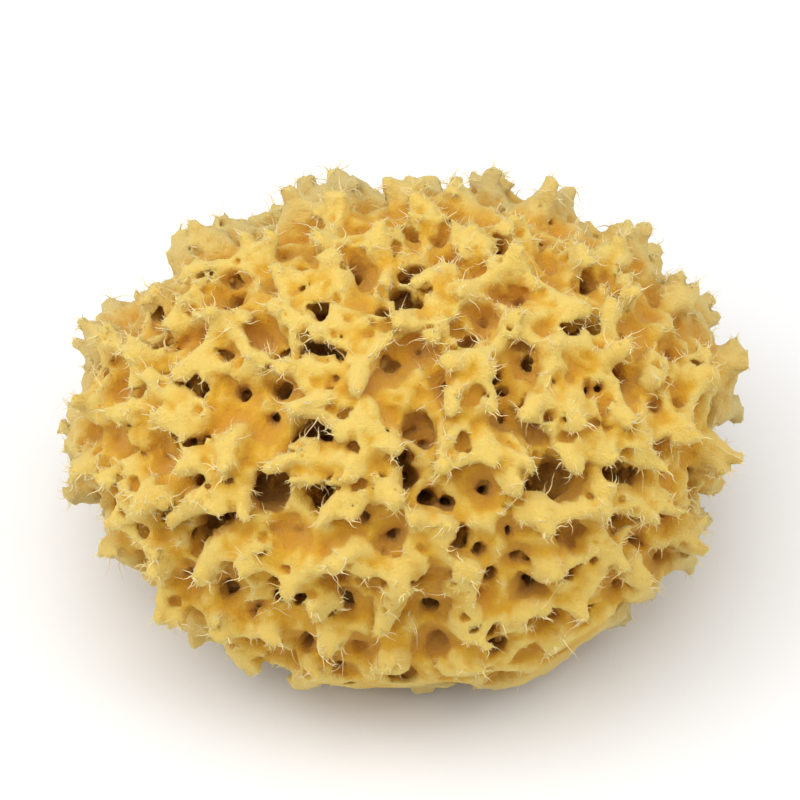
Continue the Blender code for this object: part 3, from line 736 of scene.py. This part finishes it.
def thinned(piece, triangles):
    """Leaves at most so many triangles, where the form bends most."""
    modifier = piece.modifiers.new("thin_out", "DECIMATE")
    modifier.ratio = min(1.0, triangles / (2 * len(piece.data.polygons)))
    modifier.use_collapse_triangulate = True
    graph = bpy.context.evaluated_depsgraph_get()
    mesh = bpy.data.meshes.new_from_object(piece.evaluated_get(graph))
    piece.modifiers.clear()
    old = piece.data
    piece.data = mesh
    bpy.data.meshes.remove(old)


def points_of(mesh):
    """Vertex places and normals of a mesh, in millimetres from the middle."""
    places = np.empty(3 * len(mesh.vertices), np.float32)
    normals = np.empty(3 * len(mesh.vertices), np.float32)
    mesh.vertices.foreach_get("co", places)
    mesh.vertex_normals.foreach_get("vector", normals)
    places = places.reshape(-1, 3).astype(float) / MM - (0, 0, MIDDLE_HEIGHT)
    return places, normals.reshape(-1, 3).astype(float)


def set_attribute(mesh, name, values):
    layer = mesh.attributes.new(name, "FLOAT", "POINT")
    layer.data.foreach_set("value", values.astype(np.float32))


def strands(roots, headings, lengths, thicknesses, curls, chance, rings=5):
    """Tapered strands: each is a three-sided rod along root + length * (s * heading + curl * s^2
    * aside + a small wave), with s from 0 to 1, closed at its foot and drawn to a point."""
    count = len(roots)
    s = np.linspace(0, 1, rings + 1)
    aside = unit(np.cross(headings, chance.normal(0, 1, headings.shape)))
    other = np.cross(headings, aside)
    phase = chance.uniform(0, 6.28, (count, 1))
    wave = 0.20 * np.sin(phase + 6 * s[None]) * s[None]
    line = (
        s[None, :, None] * headings[:, None]
        + (curls[:, None] * s[None] ** 2)[..., None] * aside[:, None]
        + wave[..., None] * other[:, None]
    )
    line = roots[:, None] + lengths[:, None, None] * line
    turn = 2 * math.pi * np.arange(3) / 3
    ring = (
        np.cos(turn)[None, :, None] * aside[:, None] + np.sin(turn)[None, :, None] * other[:, None]
    )
    taper = 1 - 0.75 * s[:rings]
    body = (
        line[:, :rings, None]
        + (thicknesses[:, None] * taper[None])[..., None, None] * ring[:, None]
    )
    vertices = np.concatenate((body.reshape(count, -1, 3), line[:, rings:]), axis=1)
    faces = []
    for r in range(rings - 1):
        for a in range(3):
            b = (a + 1) % 3
            p, q = 3 * r, 3 * (r + 1)
            faces += [(p + a, p + b, q + b), (p + a, q + b, q + a)]
    last = 3 * (rings - 1)
    faces += [(last + a, last + (a + 1) % 3, 3 * rings) for a in range(3)]
    faces.append((0, 2, 1))
    per = 3 * rings + 1
    faces = np.array(faces)[None] + per * np.arange(count)[:, None, None]
    return vertices.reshape(-1, 3), faces.reshape(-1, 3)


def sponge_material(name, look, strand=False):
    """The skeleton's finish: pale webs and tips, and painted shade that turns amber in the hollows
    and brown in the canals the more enclosed a place is, with cloudy patches, darker dots of painted
    shade for tiny pin-holes, a paler grey painted sheen round the outline, a fibrous grain and light
    through it."""
    material = bpy.data.materials.new(name)
    material.use_nodes = True
    nodes, links = material.node_tree.nodes, material.node_tree.links
    surface = nodes["Principled BSDF"]
    place = nodes.new("ShaderNodeTexCoord").outputs["Object"]

    def noise(scale, detail, rough=0.6):
        node = nodes.new("ShaderNodeTexNoise")
        node.inputs["Scale"].default_value = scale
        node.inputs["Detail"].default_value = detail
        node.inputs["Roughness"].default_value = rough
        links.new(place, node.inputs["Vector"])
        return node.outputs["Fac"]

    def maths(operation, a, b, clamp=False):
        node = nodes.new("ShaderNodeMath")
        node.operation = operation
        node.use_clamp = clamp
        for socket, value in zip(node.inputs, (a, b), strict=False):
            if isinstance(value, (int, float)):
                socket.default_value = value
            else:
                links.new(value, socket)
        return node.outputs[0]

    def mixed(share, a, b):
        node = nodes.new("ShaderNodeMix")
        node.data_type = "RGBA"
        for socket, value in ((node.inputs[0], share), (node.inputs[6], a), (node.inputs[7], b)):
            if isinstance(value, (int, float)):
                socket.default_value = value
            elif isinstance(value, (tuple, list)) or hasattr(value, "hsv"):
                socket.default_value = (*tuple(value)[:3], 1)
            else:
                links.new(value, socket)
        return node.outputs[2]

    patches = noise(55, 4)
    if strand:
        colour = mixed(patches, look.strand, look.tip)
        surface.inputs["Roughness"].default_value = 0.6
    else:
        # Painted shade: the ramp runs from pale tips through the webs to amber hollows and brown
        # canals, the more enclosed a place is
        shade_depth = nodes.new("ShaderNodeAttribute")
        shade_depth.attribute_name = "shade_depth"
        ramp = nodes.new("ShaderNodeValToRGB")
        stops = ((0.0, look.tip), (0.30, look.web_colour), (0.52, look.hollow_shade),
                 (0.74, look.canal_shade), (1.0, look.deep_shade))
        while len(ramp.color_ramp.elements) < len(stops):
            ramp.color_ramp.elements.new(0.5)
        for element, (position, shade) in zip(ramp.color_ramp.elements, stops, strict=True):
            element.position = position
            element.color = (*tuple(shade)[:3], 1)
        cloudy = maths("MULTIPLY", maths("SUBTRACT", patches, 0.5), 0.30)
        mottle = maths("MULTIPLY", maths("SUBTRACT", noise(420, 4, 0.8), 0.5), 0.42)
        cloudy = maths("ADD", cloudy, mottle)
        links.new(maths("ADD", shade_depth.outputs["Fac"], cloudy, clamp=True), ramp.inputs[0])
        colour = ramp.outputs[0]
        # Painted sheen: a paler grey on the band seen edge-on round the outline, away from the
        # hollows
        outer = nodes.new("ShaderNodeAttribute")
        outer.attribute_name = "outer"
        sheen_share = maths("MULTIPLY", outer.outputs["Fac"], noise(30, 2))
        sheen_share = maths("MULTIPLY", sheen_share, 1.5, clamp=True)
        colour = mixed(sheen_share, colour, look.outline_sheen)
        # Painted shade: darker dots in rare patches where tiny pin-holes would be
        cells = nodes.new("ShaderNodeTexVoronoi")
        cells.inputs["Scale"].default_value = 330
        links.new(place, cells.inputs["Vector"])
        rare = maths("GREATER_THAN", noise(70, 1), 0.56)
        pin_hole_shade = maths("MULTIPLY", maths("LESS_THAN", cells.outputs["Distance"], 0.13), rare)
        colour = mixed(maths("MULTIPLY", pin_hole_shade, 0.75), colour, look.canal_shade)
        surface.inputs["Roughness"].default_value = 0.85
        grain = maths("ADD", noise(1500, 4, 0.8), maths("MULTIPLY", noise(420, 3, 0.75), 1.2))
        bump = nodes.new("ShaderNodeBump")
        bump.inputs["Strength"].default_value = look.grain
        bump.inputs["Distance"].default_value = 0.0011
        links.new(grain, bump.inputs["Height"])
        links.new(bump.outputs[0], surface.inputs["Normal"])
    links.new(colour, surface.inputs["Base Color"])
    surface.inputs["Specular IOR Level"].default_value = 0.2
    surface.inputs["Subsurface Weight"].default_value = look.glow
    surface.inputs["Subsurface Radius"].default_value = (1.0, 0.7, 0.3)
    surface.inputs["Subsurface Scale"].default_value = 0.0018
    surface.inputs["Sheen Weight"].default_value = 0.15
    surface.inputs["Sheen Roughness"].default_value = 0.6
    return material


def hand_over(piece):
    """The piece rides on the sponge's body."""
    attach(piece, BODY)


# What the skeleton leaves for the strands: the block, its solid share, vertices and normals
SHAPED = {}


def number(name, description, default, least=0):
    return bpy.props.IntProperty(name=name, description=description, default=default, min=least)


def factor(name, description, default):
    return bpy.props.FloatProperty(
        name=name, description=description, default=default, min=0, max=1, subtype="FACTOR"
    )


def length(name, description, default):
    return bpy.props.FloatProperty(
        name=name, description=description, default=default, min=0.0, precision=3
    )


def colour(name, description, default):
    return bpy.props.FloatVectorProperty(
        name=name, description=description, default=default, subtype="COLOR", min=0.0, max=1.0
    )


class SpongeForm(bpy.types.PropertyGroup):
    """The skeleton's form."""

    cell: length("Cell", "Fineness of the shaping block, in millimetres", 0.58)
    bend: length("Bend", "How far canals and tufts stray from straight, in millimetres", 0.9)
    web: length("Web", "Width of the fillets where walls and tufts meet, in millimetres", 2.2)
    lumps: length("Lumps", "Height of the small lumps, in millimetres", 0.80)
    points: number("Points", "Small points in the crown of each tuft", 9)
    pits: number("Pits", "Small pits and holes in webs and tufts", 1900, 1)
    triangles: number("Triangles", "Most triangles of the skeleton", 196000)


class SpongeFibres(bpy.types.PropertyGroup):
    """The frayed fibres."""

    bunch_gap: length("Bunch spacing", "Least distance between frayed bunches, in millimetres", 2.3)
    bunch_size: number("Bunch size", "Strands in a frayed bunch", 4, 1)
    longest: length("Longest", "Length of the longest strands, in millimetres", 3.3)
    thick: length("Thickness", "Radius of a strand at its foot, in millimetres", 0.19)
    fuzz: number("Fuzz", "Short strands on ridges and webs", 6500)


class SpongeColours(bpy.types.PropertyGroup):
    """The skeleton's colours and finish."""

    tip: colour("Tips", "Pale webs and points", (0.93, 0.665, 0.150))
    web_colour: colour("Webs", "The skin between the canals", (0.84, 0.470, 0.020))
    # Painted shade in the bowls round the canal mouths
    hollow_shade: colour("Hollows", "Bowls round the canal mouths", (0.77, 0.378, 0.010))
    # Painted shade on the canal walls, also used for the darker pin-hole dots
    canal_shade: colour("Canals", "Walls of the canals", (0.80, 0.40, 0.022))
    # Painted shade in the inmost canals
    deep_shade: colour("Canal ends", "The inmost canals", (0.80, 0.41, 0.050))
    # Painted sheen: a paler grey on the band seen edge-on round the outline
    outline_sheen: colour("Flaps", "Thin flaps round the outline", (0.70, 0.55, 0.22))
    strand: colour("Strands", "The frayed fibres", (0.97, 0.84, 0.48))
    glow: factor("Glow", "Share of light that soaks in", 0.30)
    grain: factor("Grain", "Strength of the fibrous grain", 0.85)


class SpongeStage(bpy.types.PropertyGroup):
    """The floor, lights and camera."""

    floor_colour: colour("Floor", "Plain pale floor", (0.86, 0.86, 0.86))
    lens: length("Lens", "Focal length of the camera, in millimetres", 200.0)
    field: length("Field", "Width of the view at the sponge, in millimetres", 166.5)
    key: length("Key light", "Power of the main light, in watts", 3.75)
    fill: length("Fill light", "Power of the side lights, in watts", 1.35)


def shade_depth_values(places, block, solid_near, solid_wide):
    """How enclosed each place is, from 0 on tips to 1 deep in canals: the share of solid round it,
    near and wide, and its depth under the skin. The colour ramp paints shade after it."""
    near = block.sample(solid_near, places)
    wide = block.sample(solid_wide, places)
    under = np.clip(-height_over_skin(places) / 16.0, -0.3, 1)
    shade_depth = 0.40 * (near - 0.30) / 0.40 + 0.55 * (wide - 0.32) / 0.45 + 0.42 * under - 0.04
    return np.clip(shade_depth, 0, 1)


class SPONGE_OT_skeleton(bpy.types.Operator):
    """Grows the skeleton with its canals, webs, ridges and tufts, in place of the plain solid"""

    bl_idname = "sponge.skeleton"
    bl_label = "Skeleton"

    def execute(self, context):
        form = context.scene.sponge_form
        block = Block(form.cell, (77, 65, 56))
        skeleton_field(block, form)
        vertices, faces = largest_piece(*net_of_cells(block))
        SHAPED["box"] = [np.array(c) / MM - (0, 0, MIDDLE_HEIGHT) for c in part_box(NODE)]
        piece = new_piece("skeleton", vertices, faces, sponge_material(
            "sponge_skeleton", context.scene.sponge_colours))
        thinned(piece, form.triangles)
        places, normals = points_of(piece.data)
        solid = (block.field < 0).astype(np.float32)
        solid_near = block.soften(solid, 1.0)
        solid_wide = block.soften(solid, 3.6)
        # How enclosed each place is; the colour ramp paints shade after it
        shade_depth = shade_depth_values(places, block, solid_near, solid_wide)
        # The band seen edge-on round the outline, which takes the painted sheen
        rim = 1 - np.abs(unit(places) @ seen_axes()[2])
        outer = np.clip((rim - 0.62) / 0.38, 0, 1) * np.clip(1.1 - 1.6 * shade_depth, 0, 1)
        set_attribute(piece.data, "shade_depth", shade_depth)
        set_attribute(piece.data, "outer", outer)
        SHAPED.update(block=block, near=solid_near, places=places, normals=normals, outer=outer)
        fit_to_box(piece)
        piece.data.shade_smooth()
        hand_over(piece)
        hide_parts(NODE)
        return {"FINISHED"}


def fit_to_box(piece):
    """Presses the outermost points softly to within a small reach r of the solid's box: what a
    point is over a side, x, becomes r tanh(x / r)."""
    places, _ = points_of(piece.data)
    low, high = SHAPED["box"]
    over, under = np.maximum(places - high, 0), np.maximum(low - places, 0)
    places += PAST_BOX * np.tanh(over / PAST_BOX) - over
    places -= PAST_BOX * np.tanh(under / PAST_BOX) - under
    places[:, 2] = np.maximum(places[:, 2], -MIDDLE_HEIGHT)
    places = (places + (0, 0, MIDDLE_HEIGHT)) * MM
    piece.data.vertices.foreach_set("co", places.astype(np.float32).ravel())
    piece.data.update()


def outward_from_solid(places):
    """Directions in which the solid thins out fastest, from the blurred share of solid."""
    block, values = SHAPED["block"], SHAPED["near"]
    step = 0.8
    slopes = [
        block.sample(values, places - s) - block.sample(values, places + s)
        for s in np.eye(3) * step
    ]
    return unit(np.stack(slopes, axis=1) + 1e-9)


def rooted(roots, outward):
    """Draws strand roots back to a little under the skeleton's surface, and tells which of them
    are in it."""
    block = SHAPED["block"]
    for _ in range(4):
        above = np.clip(block.sample(block.field, roots) + ROOT_DEPTH, 0, 0.4)
        roots = roots - above[:, None] * outward
    return roots, block.sample(block.field, roots) < 0


def spaced(order, places, gap, most):
    """Picks places in order, each at least a gap from those picked before, with a coarse grid
    of the taken cells to look them up."""
    taken, picked = {}, []
    cells = np.floor(places / gap).astype(int)
    for i in order:
        c = tuple(cells[i])
        near = [
            j
            for dx in (-1, 0, 1)
            for dy in (-1, 0, 1)
            for dz in (-1, 0, 1)
            for j in taken.get((c[0] + dx, c[1] + dy, c[2] + dz), ())
        ]
        if near and (np.linalg.norm(places[near] - places[i], axis=1) < gap).any():
            continue
        taken.setdefault(c, []).append(i)
        picked.append(i)
        if len(picked) == most:
            break
    return np.array(picked)


class SPONGE_OT_bunches(bpy.types.Operator):
    """Frays the tips of the tufts into bunches of pale strands"""

    bl_idname = "sponge.bunches"
    bl_label = "Frayed bunches"

    def execute(self, context):
        look = context.scene.sponge_fibres
        chance = np.random.default_rng(71)
        places = SHAPED["places"]
        share = SHAPED["block"].sample(SHAPED["near"], places)
        open_air = (places[:, 2] > 2 - MIDDLE_HEIGHT) & (height_over_skin(places) > -1.0)
        able = np.nonzero((share < 0.32) & open_air)[0]
        often = np.clip((places[able, 2] + MIDDLE_HEIGHT - 4) / 34, 0.12, 1)
        often = often**1.5 * (1 - RARER_OUTSIDE * SHAPED["outer"][able])
        able = able[chance.random(len(able)) < often]
        order = able[np.argsort(share[able])]
        picked = spaced(order, places, look.bunch_gap, 1900)
        roots = np.repeat(places[picked], look.bunch_size, axis=0)
        heading = np.repeat(outward_from_solid(places[picked]), look.bunch_size, axis=0)
        roots, held = rooted(roots + chance.normal(0, 0.38, roots.shape) - 0.35 * heading, heading)
        roots, heading = roots[held], heading[held]
        heading = unit(heading + chance.normal(0, 0.38, heading.shape))
        lengths = look.longest * (0.25 + 0.75 * chance.random(len(roots)) ** 1.8)
        thick = look.thick * (0.6 + 0.6 * chance.random(len(roots)))
        curls = chance.normal(0, 1.0, len(roots))
        rods = strands(roots, heading, lengths, thick, curls, chance)
        strand_piece("frayed_bunches", "sponge_strands", rods, context.scene.sponge_colours)
        return {"FINISHED"}


class SPONGE_OT_fuzz(bpy.types.Operator):
    """Sets short pale strands along the ridges and webs"""

    bl_idname = "sponge.fuzz"
    bl_label = "Ridge fuzz"

    def execute(self, context):
        look = context.scene.sponge_fibres
        chance = np.random.default_rng(72)
        places, normals = SHAPED["places"], SHAPED["normals"]
        share = SHAPED["block"].sample(SHAPED["near"], places)
        weight = np.clip((0.47 - share) / 0.15, 0, 1) * (places[:, 2] > 1 - MIDDLE_HEIGHT)
        weight *= np.clip((height_over_skin(places) + 2.5) / 2, 0, 1)
        weight *= np.clip((places[:, 2] + MIDDLE_HEIGHT - 4) / 30, 0.15, 1)
        weight *= 1 - RARER_OUTSIDE * SHAPED["outer"]
        picked = chance.choice(len(places), look.fuzz, replace=False, p=weight / weight.sum())
        heading = unit(normals[picked] + 0.8 * outward_from_solid(places[picked])
                       + chance.normal(0, 0.55, (len(picked), 3)))
        roots, held = rooted(places[picked] - 0.15 * normals[picked], normals[picked])
        roots, heading, picked = roots[held], heading[held], picked[held]
        lengths = 0.4 + 1.2 * chance.random(len(picked)) ** 2.2
        thick = look.thick * (0.35 + 0.35 * chance.random(len(picked)))
        curls = chance.normal(0, 0.6, len(picked))
        rods = strands(roots, heading, lengths, thick, curls, chance, rings=3)
        strand_piece("ridge_fuzz", "sponge_fuzz", rods, context.scene.sponge_colours)
        return {"FINISHED"}


def strand_piece(name, material, rods, colours):
    """Puts strands in the scene, inside the sponge's reach, and hands them over."""
    piece = new_piece(name, *rods, sponge_material(material, colours, strand=True))
    fit_to_box(piece)
    keep_in_box(piece)
    hand_over(piece)


def keep_in_box(piece):
    """Folds back what stands more than a little outside the solid's box."""
    low, high = (np.array(c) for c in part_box(NODE))
    places = np.empty(3 * len(piece.data.vertices), np.float32)
    piece.data.vertices.foreach_get("co", places)
    places = places.reshape(-1, 3)
    spare = np.array(STRANDS_PAST_BOX) * MM
    floor = np.array((low[0] - spare[0], low[1] - spare[1], low[2] + 0.0002))
    places = np.clip(places, floor, high + spare)
    piece.data.vertices.foreach_set("co", places.ravel())
    piece.data.update()


class SPONGE_OT_stage(bpy.types.Operator):
    """Sets the plain floor, the soft lights and the camera"""

    bl_idname = "sponge.stage"
    bl_label = "Stage"

    def execute(self, context):
        look = context.scene.sponge_stage
        floor = flat_square("floor", 4.0)
        paint = bpy.data.materials.new("pale_floor")
        paint.use_nodes = True
        shader = paint.node_tree.nodes["Principled BSDF"]
        shader.inputs["Base Color"].default_value = (*look.floor_colour, 1)
        shader.inputs["Roughness"].default_value = 0.9
        floor.data.materials.append(paint)

        world = bpy.data.worlds.new("soft_room")
        context.scene.world = world
        world.use_nodes = True
        back = world.node_tree.nodes["Background"]
        back.inputs["Color"].default_value = (1, 1, 1, 1)
        back.inputs["Strength"].default_value = ROOM_LIGHT

        middle = np.array((0, 0, MIDDLE_HEIGHT)) * MM
        right, above, near = seen_axes()
        soft_light("key_light", middle + 0.55 * near + 0.35 * above - 0.12 * right,
                   middle, 0.75, look.key)
        for name, side in (("left_light", -0.6), ("right_light", 0.6)):
            soft_light(name, middle + side * right + 0.35 * near + 0.2 * above,
                       middle, 0.5, look.fill)

        camera = bpy.data.objects.new("camera", bpy.data.cameras.new("camera"))
        context.scene.collection.objects.link(camera)
        camera.data.lens = look.lens
        camera.data.sensor_width = SENSOR
        camera.data.clip_start = 0.05
        aim = middle + 0.0077 * above - 0.0004 * right
        distance = look.field * MM * look.lens / SENSOR
        camera.location = aim + near * distance
        camera.rotation_euler = (math.pi / 2 - SEEN_FROM, 0, 0)
        context.scene.camera = camera
        context.scene.view_settings.view_transform = "Standard"
        return {"FINISHED"}


def flat_square(name, size):
    mesh = bpy.data.meshes.new(name)
    h = size / 2
    mesh.from_pydata([(-h, -h, 0), (h, -h, 0), (h, h, 0), (-h, h, 0)], [], [(0, 1, 2, 3)])
    square = bpy.data.objects.new(name, mesh)
    bpy.context.scene.collection.objects.link(square)
    return square


def soft_light(name, place, target, size, power):
    """A square area light that faces a target."""
    data = bpy.data.lights.new(name, "AREA")
    data.size = size
    data.energy = power
    light = bpy.data.objects.new(name, data)
    bpy.context.scene.collection.objects.link(light)
    light.location = place
    turn = Vector(target - place).to_track_quat("-Z", "Y")
    light.rotation_euler = turn.to_euler()
    return light


class SPONGE_PT_panel(bpy.types.Panel):
    """Lists the sponge's pieces and their settings"""

    bl_idname = "SPONGE_PT_panel"
    bl_label = "Sea Sponge"
    bl_space_type = "VIEW_3D"
    bl_region_type = "UI"
    bl_category = "Sponge"

    def draw(self, context):
        scene, layout = context.scene, self.layout
        for group in (scene.sponge_form, scene.sponge_fibres, scene.sponge_colours,
                      scene.sponge_stage):
            box = layout.box()
            for name in group.__annotations__:
                box.prop(group, name)
        for operator in OPERATORS:
            layout.operator(operator.bl_idname)


GROUPS = {
    "sponge_form": SpongeForm,
    "sponge_fibres": SpongeFibres,
    "sponge_colours": SpongeColours,
    "sponge_stage": SpongeStage,
}
OPERATORS = (SPONGE_OT_skeleton, SPONGE_OT_bunches, SPONGE_OT_fuzz, SPONGE_OT_stage)


def register():
    for group in GROUPS.values():
        bpy.utils.register_class(group)
    for name, group in GROUPS.items():
        setattr(bpy.types.Scene, name, bpy.props.PointerProperty(type=group))
    for operator in OPERATORS:
        bpy.utils.register_class(operator)
    bpy.utils.register_class(SPONGE_PT_panel)


def unregister():
    bpy.utils.unregister_class(SPONGE_PT_panel)
    for operator in reversed(OPERATORS):
        bpy.utils.unregister_class(operator)
    for name in GROUPS:
        delattr(bpy.types.Scene, name)
    for group in GROUPS.values():
        bpy.utils.unregister_class(group)


def main():
    """Builds every piece in order."""
    register()
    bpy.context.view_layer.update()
    bpy.ops.sponge.skeleton()
    bpy.ops.sponge.bunches()
    bpy.ops.sponge.fuzz()
    bpy.ops.sponge.stage()


if __name__ == "__main__":
    main()
